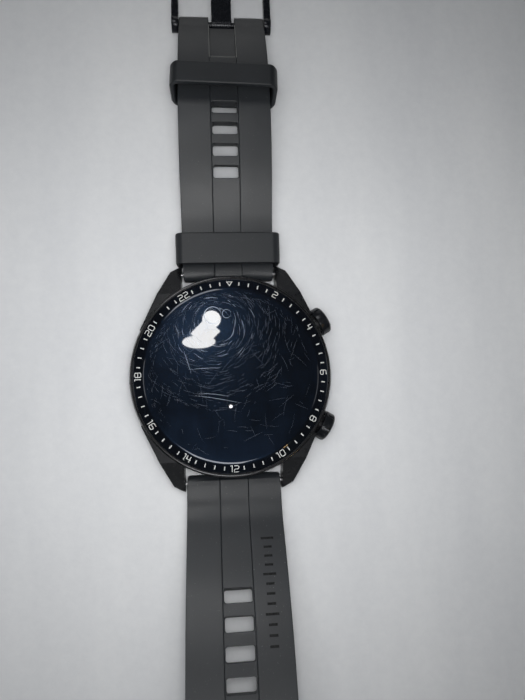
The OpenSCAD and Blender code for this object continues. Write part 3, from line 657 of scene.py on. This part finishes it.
keeper("low_keeper", 5.55, 7.2, 2.5)
keeper("high_keeper", 43.6, 5.8, 3.3, 0.5, -0.07, -0.03)


# ------------------------------------------------------------------ glass and marks

GLASS_TOP, FLAT_R = 11.5, 19.1
# The flat turns into the sloping edge over this width and falls this far, then keeps one slope
TURN_W, TURN_DROP, EDGE_SLOPE = 0.8, 0.17, 0.43


def glass_z(r):
    """Height of the glass's top at radius r."""
    if r < FLAT_R:
        return GLASS_TOP
    if r < FLAT_R + TURN_W:
        return GLASS_TOP - TURN_DROP * ((r - FLAT_R) / TURN_W) ** 2
    return GLASS_TOP - TURN_DROP - (r - FLAT_R - TURN_W) * EDGE_SLOPE


profile = [(0, GLASS_TOP)] + [(r, GLASS_TOP) for r in (6, 12, 17, 18.6)]
profile += [(FLAT_R + 0.1 * i, glass_z(FLAT_R + 0.1 * i)) for i in range(9)]
profile += [(r, glass_z(r)) for r in (20.4, 21.0, 21.5, 21.65)]
edge_z = glass_z(21.65)
profile += [(21.77, edge_z - 0.07), (21.85, edge_z - 0.16), (21.88, edge_z - 0.3), (21.88, 9.62),
            (FLAT_R, 10.7), (0, 10.7)]
glass = lathe("glass", profile, "glass", "case", "screen_glass", 256, sharp=70)
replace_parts(glass, "cover_glass")

# The bright line round the glass, on the case's inner edge
lathe("case_rim", [(22.12, 10.16), (22.16, 10.26), (22.34, 10.27), (22.42, 10.2), (22.42, 10.0), (22.12, 10.0)],
      "rim", "case", "case_metal", 256, sharp=50)

# Line width of the numbers, and the radius that the marks are centred on
STROKE, MARK_R = 0.18, 20.62
# A tick's half width, and its ends inside and outside the marks' radius
TICK_HALF_W, TICK_IN, TICK_OUT = 0.12, -0.46, 0.42


def ribbon(points, width, closed=False):
    """Mitred quads along a 2-D line."""
    n = len(points)
    left, right = [], []
    for i, p in enumerate(points):
        a = points[i - 1] if (i or closed) else None
        b = points[(i + 1) % n] if (i < n - 1 or closed) else None
        d1 = Vector((p[0] - a[0], p[1] - a[1])).normalized() if a else None
        d2 = Vector((b[0] - p[0], b[1] - p[1])).normalized() if b else None
        d1, d2 = d1 or d2, d2 or d1
        m = (d1 + d2).normalized()
        k = width / 2 / max(0.45, m.dot(d1))
        left.append((p[0] - m.y * k, p[1] + m.x * k))
        right.append((p[0] + m.y * k, p[1] - m.x * k))
    quads = []
    for i in range(n if closed else n - 1):
        j = (i + 1) % n
        quads.append((left[i], right[i], right[j], left[j]))
    return quads


# A digit's width, height and cut corner; the width of a 1, the gap between digits, and how far a 1 is moved
W, H, C = 0.98, 1.42, 0.2
ONE_W, DIGIT_GAP, ONE_SHIFT = 0.62, 0.36, -0.12
LOOP = ([(C, 0), (W - C, 0), (W, C), (W, H - C), (W - C, H), (C, H), (0, H - C), (0, C)], True)
DIGITS = {
    "0": [LOOP],
    "1": [([(0.25, H), (0.62, H), (0.62, 0)], False)],
    "2": [([(0, H), (W - C, H), (W, H - C), (W, H / 2 + C), (W - C, H / 2), (C, H / 2), (0, H / 2 - C),
            (0, 0), (W, 0)], False)],
    "4": [([(0, H), (0, H * 0.42), (W, H * 0.42)], False), ([(W * 0.75, H), (W * 0.75, 0)], False)],
    "6": [([(W, H), (C, H), (0, H - C), (0, C), (C, 0), (W - C, 0), (W, C), (W, H / 2 - C / 2),
            (W - C, H / 2), (0, H / 2)], False)],
    "8": [LOOP, ([(0, H / 2), (W, H / 2)], False)],
}


def mark(quads, angle, up, out, lift=0.015):
    """Adds quads in local (across, up) millimetres at a clock angle, as thin solids on the sloping glass."""
    th = math.radians(angle)
    er, et = Vector((math.sin(th), math.cos(th))), Vector((math.cos(th), -math.sin(th)))
    verts, faces = out
    for quad in quads:
        base = len(verts)
        for top in (1, 0):
            for a, b in quad:
                p = er * (MARK_R + up * b) + et * (up * a)
                verts.append((p.x, p.y, glass_z(p.length) + (lift if top else -0.02)))
        f = [(0, 1, 2, 3), (7, 6, 5, 4), (0, 4, 5, 1), (1, 5, 6, 2), (2, 6, 7, 3), (3, 7, 4, 0)]
        faces += [tuple(base + i for i in g) for g in f]


def number(text, angle, up, out):
    """Adds a number at a clock angle. up is 1 with its top outwards and -1 with its top inwards."""
    width = sum(ONE_W if c == "1" else W for c in text) + DIGIT_GAP * (len(text) - 1)
    x = -width / 2
    for c in text:
        shift = ONE_SHIFT if c == "1" else 0
        for pts, closed in DIGITS[c]:
            mark(ribbon([(x + shift + px, py - H / 2) for px, py in pts], STROKE, closed), angle, up, out)
        x += (ONE_W if c == "1" else W) + DIGIT_GAP


marks = ([], [])
tick = ((-TICK_HALF_W, TICK_IN), (TICK_HALF_W, TICK_IN), (TICK_HALF_W, TICK_OUT), (-TICK_HALF_W, TICK_OUT))
for i in range(60):
    if i % 5:
        mark([tick], 6 * i, 1, marks)
    elif i:
        number(str(i // 5 * 2), 6 * i, -1 if 4 <= i // 5 <= 8 else 1, marks)
mark(ribbon([(-0.58, 0.42), (0.58, 0.42), (0, -0.52)], 0.19, True), 0, 1, marks)
make("scale_marks", *marks, "marks", "case", "ring_paint", smooth=False)


# ------------------------------------------------------------------ wear on the glass, with painted glints and a painted reflection

def scratch(points, width, out, z=GLASS_TOP + 0.003):
    """Adds a flat line with thin ends, just over the glass."""
    verts, faces = out
    n = len(points)
    for i, p in enumerate(points):
        q = points[min(i + 1, n - 1)]
        o = points[max(i - 1, 0)]
        d = Vector((q[0] - o[0], q[1] - o[1])).normalized()
        k = width / 2 * math.sin(math.pi * (i + 0.15) / (n - 0.7))
        verts += [(p[0] - d.y * k, p[1] + d.x * k, z), (p[0] + d.y * k, p[1] - d.x * k, z)]
    b = len(verts) - 2 * n
    faces += [(b + 2 * i, b + 2 * i + 1, b + 2 * i + 3, b + 2 * i + 2) for i in range(n - 1)]


def inside(p):
    """Whether a point lies on the flat of the glass."""
    return math.hypot(*p) < FLAT_R - 0.4


painted_light_and_scratch_lines, faint_scratch_and_glint_lines = ([], []), ([], [])
# The scratches curl round the bright patch that the lamps make, and the nearer ones are brighter: painted glint
CENTRE = Vector((-3.6, 11.2))
for _ in range(640):
    r = 3.5 + 15.5 * rnd.random() ** 0.8
    a = rnd.uniform(0, math.tau)
    span = rnd.uniform(0.6, 3.4) / r
    slant = rnd.uniform(-0.25, 0.25)
    pts = []
    for t in (0, 0.25, 0.5, 0.75, 1):
        reach = r + slant * r * span * (t - 0.5)
        pts.append((CENTRE.x + reach * math.cos(a + span * t), CENTRE.y + reach * math.sin(a + span * t)))
    if all(inside(p) for p in pts):
        # Nearer the bright patch, more arcs are wide and bright: painted glint round the lamps' reflection
        near = rnd.random() < 0.85 - r / 12
        scratch(pts, rnd.uniform(0.014, 0.034) * (1.5 if near else 1), painted_light_and_scratch_lines if near else faint_scratch_and_glint_lines)
for _ in range(170):
    x, y = rnd.uniform(-18, 18), rnd.uniform(-18, 18)
    a, length = rnd.uniform(0, math.tau), rnd.uniform(0.8, 5)
    curve = rnd.uniform(-0.25, 0.25)
    pts = [(x + length * t * math.cos(a + curve * t), y + length * t * math.sin(a + curve * t))
           for t in (0, 0.33, 0.66, 1)]
    if all(inside(p) for p in pts):
        scratch(pts, rnd.uniform(0.012, 0.028), faint_scratch_and_glint_lines)
for _ in range(150):
    r, a = rnd.uniform(17.2, 18.7), math.radians(rnd.gauss(130, 45))
    span = rnd.uniform(0.4, 1.6) / r
    pts = [(r * math.cos(a + span * t), r * math.sin(a + span * t) + 0.2 * t) for t in (0, 0.5, 1)]
    scratch(pts, rnd.uniform(0.012, 0.03), faint_scratch_and_glint_lines)
# Four long scratches
for (x0, y0), (x1, y1) in (((-9.5, 1.4), (-2.6, 1.6)), ((-7.4, -3.8), (-0.8, -4.7)),
                           ((-8.2, -4.3), (1.9, -6.3)), ((-10.6, 6.0), (-8.9, 0.4))):
    line = [(x0 + (x1 - x0) * t, y0 + (y1 - y0) * t + 0.1 * math.sin(3 * t)) for t in (0, 0.25, 0.5, 0.75, 1)]
    scratch(line, 0.05, painted_light_and_scratch_lines)
# Two small rings in the bright patch: painted reflection of the camera's lens rings
for x, y, r, w in ((-3.9, 13.4, 1.9, 0.16), (-0.8, 13.7, 0.95, 0.08)):
    turns = [math.tau * i / 40 for i in range(41)]
    scratch([(x + r * math.cos(t), y + r * math.sin(t)) for t in turns], w, painted_light_and_scratch_lines)
# The bright colour paints glints near the lamps' reflection and also marks the long scratches; the faint colour is
# plain scratches and the outer glint arcs
mats["scratch_bright"] = plain("scratch_bright", (0.36, 0.40, 0.47), 0.35, 0.0, 4000)
mats["scratch_faint"] = plain("scratch_faint", (0.08, 0.095, 0.125), 0.4, 0.0, 4000)
make("scratches_and_painted_light", *painted_light_and_scratch_lines, "scratch_bright", "case", "screen_glass", smooth=False)
make("scratches_faint_and_glint", *faint_scratch_and_glint_lines, "scratch_faint", "case", "screen_glass", smooth=False)


# ------------------------------------------------------------------ springs


def spring(node, body, axis):
    """A copy of a CAD spring in place of the CAD node, kept at its length. axis, from the fixed end to the moving
    one, is not used.
    """
    mesh = nodes[node].data.copy()
    mesh.materials.clear()
    o = finish_mesh(node + "_coil", mesh, "steel", body, "bright_steel", smooth=False)
    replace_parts(o, node)
    axis = Vector(axis)
    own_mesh(o)


for which, side in (("upper", 1), ("lower", -1)):
    outwards = (math.cos(math.radians(30)), side * 0.5, 0)
    spring(which + "_button_spring", "case", outwards)
spring("upper_bar_spring", "buckle_strap", (1, 0, 0))
spring("lower_bar_spring", "tail_strap", (1, 0, 0))


# ------------------------------------------------------------------ softened CAD nodes

for name, width in (("mid_case", 0.16), ("upper_button_cap", 0.12), ("lower_button_cap", 0.12),
                    ("buckle_frame", 0.3), ("buckle_tongue", 0.16), ("rear_cover", 0.12)):
    soften(name, width)


# ------------------------------------------------------------------ floor, lights and camera

floor_mesh = bpy.data.meshes.new("floor")
FLOOR = 3
floor_mesh.from_pydata([(-FLOOR, -FLOOR, 0), (FLOOR, -FLOOR, 0), (FLOOR, FLOOR, 0), (-FLOOR, FLOOR, 0)],
                       [], [(0, 1, 2, 3)])
floor = bpy.data.objects.new("floor", floor_mesh)
scene.collection.objects.link(floor)
m = Shader("floor_pale", (0.62, 0.62, 0.62), 0.55, Specular_IOR_Level=0.3)
slanted = m.node("ShaderNodeMapping", Vector=m.coords, Rotation=(0, 0, 0.5), Scale=(1, 0.25, 1))
streak = m.noise(35, 4, 0.6, slanted)
fine = m.noise(420, 4, 0.7)
both = m.math("ADD", m.math("MULTIPLY", streak, 0.7), m.math("MULTIPLY", fine, 0.3))
m.color(m.mix(m.ramp(both, 0.35, 0.65), (0.60, 0.612, 0.632), (0.69, 0.70, 0.712)))
m.bump(fine, 0.03 * MM)
floor_mesh.materials.append(m.mat)
floor.location.z = -0.00002


# The fitted camera's place, in millimetres, and turn, in degrees
CAMERA = (-2.84, -4.89, 128.28)
CAMERA_TURN = (-5.0, -4.79, -1.46)
# The photograph's focal length and height, in pixels
FOCAL_PX, PHOTO_PX = 526, 700
SENSOR = 36
# The lamps hang beside the camera
LAMP_Z = 128


def area_light(name, location, size, power, target=(0, 0, 0), color=(1, 1, 1), shape="SQUARE"):
    light = bpy.data.lights.new(name, "AREA")
    light.shape, light.size, light.energy, light.color = shape, size, power, color
    o = bpy.data.objects.new(name, light)
    scene.collection.objects.link(o)
    o.location = location
    o.rotation_euler = (Vector(target) - Vector(location)).to_track_quat("-Z", "Y").to_euler()
    o.visible_camera = False
    return o


def only(light, diffuse, glossy):
    """Limits what a light reaches, as a studio's flags and filters do."""
    light.visible_diffuse, light.visible_glossy = diffuse, glossy
    return light


def mirrored(u, v, height):
    """The place at a height that the flat of the glass shows at a point (millimetres) of its face."""
    e = Vector(CAMERA)
    p = Vector((u, v, GLASS_TOP))
    d = p - e
    k = (height - GLASS_TOP) / -d.z
    return tuple(c * MM for c in (p.x + d.x * k, p.y + d.y * k, height))


# Near overhead panel: gives the surface its falloff
only(area_light("overhead", (-0.008, 0.006, 0.122), 0.10, 0.094, (-0.008, 0.006, 0), shape="DISK"), True, False)
# Small panel beside the camera: lights what the slots show and leaves no shadow in view
only(area_light("beside_camera", (-0.001, -0.003, 0.127), 0.02, 0.078, (-0.001, -0.003, 0), shape="DISK"),
     True, False)
# The three lamps that make one bright patch in the glass: where it shows them, their sizes, power and turn
for name, (u, v), sx, sy, power, spin in (("lamp_low", (-7.1, 7.5), 0.0146, 0.0058, 0.005, 0),
                                          ("lamp_mid", (-5.6, 9.6), 0.0098, 0.0088, 0.0065, 45),
                                          ("lamp_top", (-4.2, 12.5), 0.0082, 0.0078, 0.0042, 0)):
    at = mirrored(u, v, LAMP_Z)
    shape = "RECTANGLE" if spin else "ELLIPSE"
    lamp = area_light(name, at, sx, power, (at[0], at[1], 0), (1.0, 0.99, 0.97), shape)
    lamp.data.size_y = sy
    lamp.rotation_euler.z += math.radians(spin)
    only(lamp, False, True)
at = mirrored(-0.4, -7.0, LAMP_Z)
only(area_light("lamp_dot", at, 0.0013, 0.0003, (at[0], at[1], 0), shape="DISK"), False, True)
# Soft panels in front and behind, which the strap's slopes pick up
only(area_light("soft_front", (-0.04, -0.24, 0.60), 0.2, 1.05, (0, 0.04, 0)), False, True)
only(area_light("soft_back", (-0.06, 0.15, 0.25), 0.1, 0.15, (0, -0.04, 0)), False, True)
only(area_light("soft_left", (-0.30, 0.02, 0.66), 0.14, 0.12), False, True)
only(area_light("soft_right", (0.32, -0.02, 0.66), 0.14, 0.08), False, True)
only(area_light("warm", (0.31, -0.39, 0.46), 0.03, 0.1, (0, 0, 0), (1.0, 0.66, 0.28)), False, True)
# Wide, weak panels round the room, for the sides
for name, x, y in (("room_front", 0, -1.2), ("room_back", 0, 1.2), ("room_left", -1.2, 0), ("room_right", 1.2, 0)):
    area_light(name, (x, y, 0.3), 0.5, 0.7, (0, 0, 0.01))
world = bpy.data.worlds.new("room")
scene.world = world
world.use_nodes = True
background = world.node_tree.nodes["Background"]
background.inputs["Color"].default_value = (0.92, 0.96, 1.0, 1)
background.inputs["Strength"].default_value = 0.075

scene.view_settings.view_transform = "Standard"
scene.view_settings.look = "None"

# The camera's place and turn were fitted to the scale ring's marks, with Y down and Z forwards
rx, ry, rz = (math.radians(v) for v in CAMERA_TURN)
turn = Matrix.Rotation(rz, 3, "Z") @ Matrix.Rotation(ry, 3, "Y") @ Matrix.Rotation(rx, 3, "X")
to_camera = turn @ Matrix.Diagonal((1, -1, -1))
cam_data = bpy.data.cameras.new("camera")
cam_data.sensor_fit = "VERTICAL"
cam_data.sensor_height = SENSOR
cam_data.lens = SENSOR * FOCAL_PX / PHOTO_PX
cam_data.clip_start = 0.01
camera = bpy.data.objects.new("camera", cam_data)
scene.collection.objects.link(camera)
rows = [Vector(to_camera[0]), -Vector(to_camera[1]), -Vector(to_camera[2])]
rotation = Matrix(rows).transposed()
camera.matrix_world = Matrix.Translation(Vector(CAMERA) * MM) @ rotation.to_4x4()
scene.camera = camera
